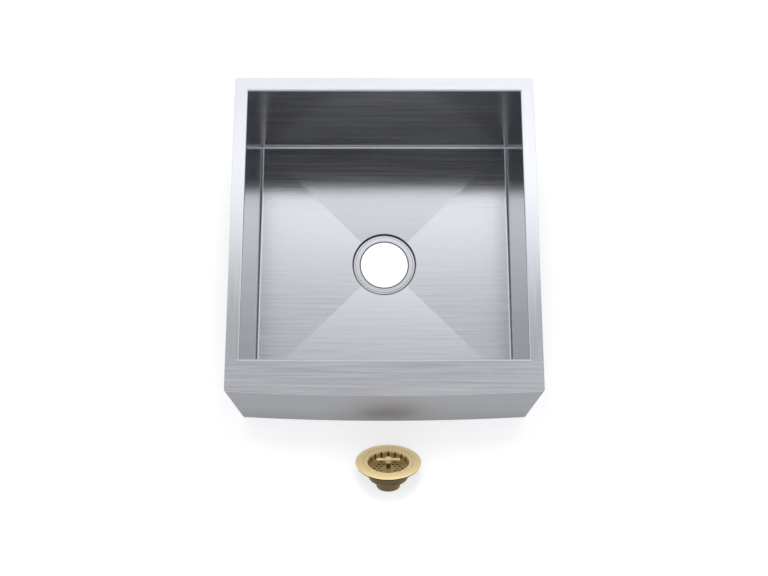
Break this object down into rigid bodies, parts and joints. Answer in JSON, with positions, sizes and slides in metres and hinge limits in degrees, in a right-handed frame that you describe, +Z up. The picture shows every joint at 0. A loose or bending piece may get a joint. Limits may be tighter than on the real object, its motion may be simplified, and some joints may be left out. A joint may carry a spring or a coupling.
{
  "type": "farmhouse kitchen sink",
  "caption": "Brushed steel apron front sink with a square bowl, creased floor, round drain seat, welded braces and sound pads, and a brass basket strainer standing apart.",
  "frame": {"origin": "centre of the drain opening, on the plane that the sink stands on", "axes": "+X to the right as seen from the front, +Y from the apron to the back rim, +Z up, out of the bowl"},
  "size_m": [0.508, 0.6767, 0.258],
  "materials": {
    "brushed_steel": "fine straight brushing, satin",
    "pad_rubber": "matt, slightly open texture",
    "brushed_brass": "pale satin brass",
    "seal_rubber": "matt black"
  },
  "bodies": {
    "sink": {"bowl_floor": "brushed_steel", "bowl_back": "brushed_steel", "bowl_front": "brushed_steel", "bowl_side_left": "brushed_steel", "bowl_side_right": "brushed_steel", "front_deck": "brushed_steel", "apron_face": "brushed_steel", "apron_return_left": "brushed_steel", "apron_return_right": "brushed_steel", "apron_lower_flange": "brushed_steel", "apron_brace_left": "brushed_steel", "apron_brace_centre": "brushed_steel", "apron_brace_right": "brushed_steel", "pad_left": "pad_rubber", "pad_right": "pad_rubber", "pad_back": "pad_rubber", "pad_front_left": "pad_rubber", "pad_front_right": "pad_rubber", "pad_floor_back": "pad_rubber", "pad_floor_left": "pad_rubber", "pad_floor_front": "pad_rubber", "pad_floor_right": "pad_rubber"},
    "strainer": {"strainer_body": "brushed_brass", "flange_gasket": "seal_rubber"},
    "basket": {"basket": "brushed_brass", "stem_bush": "brushed_brass", "bush_nut": "brushed_brass"},
    "stopper": {"stopper_plate": "brushed_brass", "stopper_rubber": "seal_rubber"},
    "handle": {"stem": "brushed_brass", "stem_nut": "brushed_brass", "handle_hub": "brushed_brass", "handle_bar": "brushed_brass"}
  },
  "joints": [
    {"name": "strainer_lift", "type": "slide", "parent": "sink", "child": "strainer", "axis": [0, 0, 1], "range_m": [0, 0.3]},
    {"name": "basket_lift", "type": "slide", "parent": "strainer", "child": "basket", "axis": [0, 0.7849, 0.6196], "range_m": [0, 0.045]},
    {"name": "stopper_rise", "type": "slide", "parent": "basket", "child": "stopper", "axis": [0, 0.7849, 0.6196], "range_m": [0, 0.005]},
    {"name": "handle_turn", "type": "hinge", "parent": "stopper", "child": "handle", "pos_m": [0.007, -0.36885, 0.04656], "axis": [0, 0.7849, 0.6196], "range_deg": [0, 270]}
  ],
  "couplings": [
    {"joint": "stopper_rise", "follows": "handle_turn", "m_per_rad": 0.000848}
  ]
}
